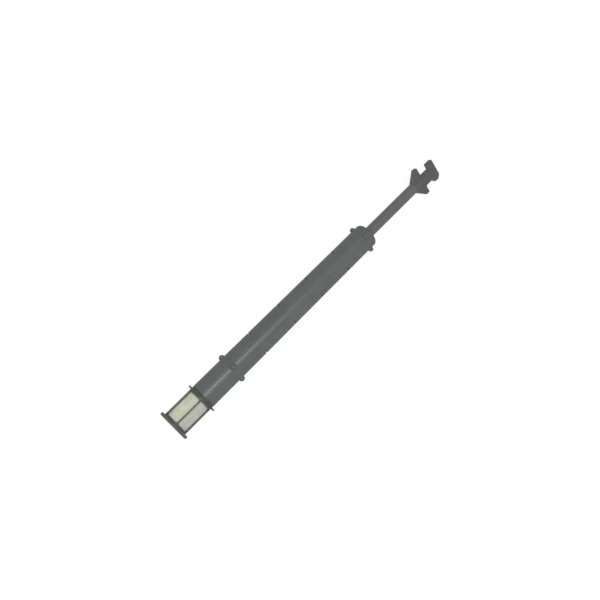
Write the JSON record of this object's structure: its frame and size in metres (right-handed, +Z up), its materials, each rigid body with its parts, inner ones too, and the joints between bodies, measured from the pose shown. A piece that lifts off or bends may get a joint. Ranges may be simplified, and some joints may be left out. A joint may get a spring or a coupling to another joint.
{
  "type": "suction fuel sampler",
  "caption": "Slender syringe-type fuel sampler: screened foot, tapered barrel with round nubs, and a plunger rod that ends in a winged T-shaped quarter-turn key.",
  "frame": {"origin": "centre of the end cap's outer face, on the barrel's axis", "axes": "+X along the barrel's axis, from the screened foot to the key; +Z up, with the sampler lying on a table; the nubs point along Y and Z, and the cage's ribs nearly so"},
  "size_m": [0.37, 0.0322, 0.0322],
  "materials": {
    "barrel_grey": "satin moulded",
    "rod_grey": "satin moulded",
    "cage_grey": "satin moulded",
    "screen_white": "woven nylon",
    "core_white": "moulded",
    "seal_black": "matt",
    "steel": "bright"
  },
  "bodies": {
    "barrel_body": {"barrel": "barrel_grey", "rod_bush": "cage_grey", "rod_wiper": "seal_black", "joint_gasket": "seal_black", "strainer_cage": "cage_grey", "strainer_end_cap": "cage_grey", "screen_sleeve": "screen_white", "screen_core": "core_white", "screen_end_rings": "core_white", "foot_valve_body": "cage_grey", "foot_valve_o_ring": "seal_black", "valve_spring": "steel", "spring_retainer": "cage_grey"},
    "piston": {"piston_body": "cage_grey", "piston_o_rings": "seal_black"},
    "rod": {"plunger_rod": "rod_grey", "t_key": "rod_grey", "key_pin": "rod_grey", "piston_washer": "steel", "piston_screw": "steel"},
    "foot_ball": {"valve_ball": "steel"}
  },
  "joints": [
    {"name": "plunger_slide", "type": "slide", "parent": "barrel_body", "child": "piston", "axis": [1, 0, 0], "range_m": [-0.0705, 0.1075]},
    {"name": "rod_turn", "type": "hinge", "parent": "piston", "child": "rod", "pos_m": [0.148, 0, 0], "axis": [1, 0, 0], "continuous": true},
    {"name": "foot_valve_lift", "type": "slide", "parent": "barrel_body", "child": "foot_ball", "axis": [1, 0, 0], "range_m": [0, 0.0018], "stiffness_N_per_m": 40, "springref_m": -0.004, "deforming": ["valve_spring"]}
  ]
}
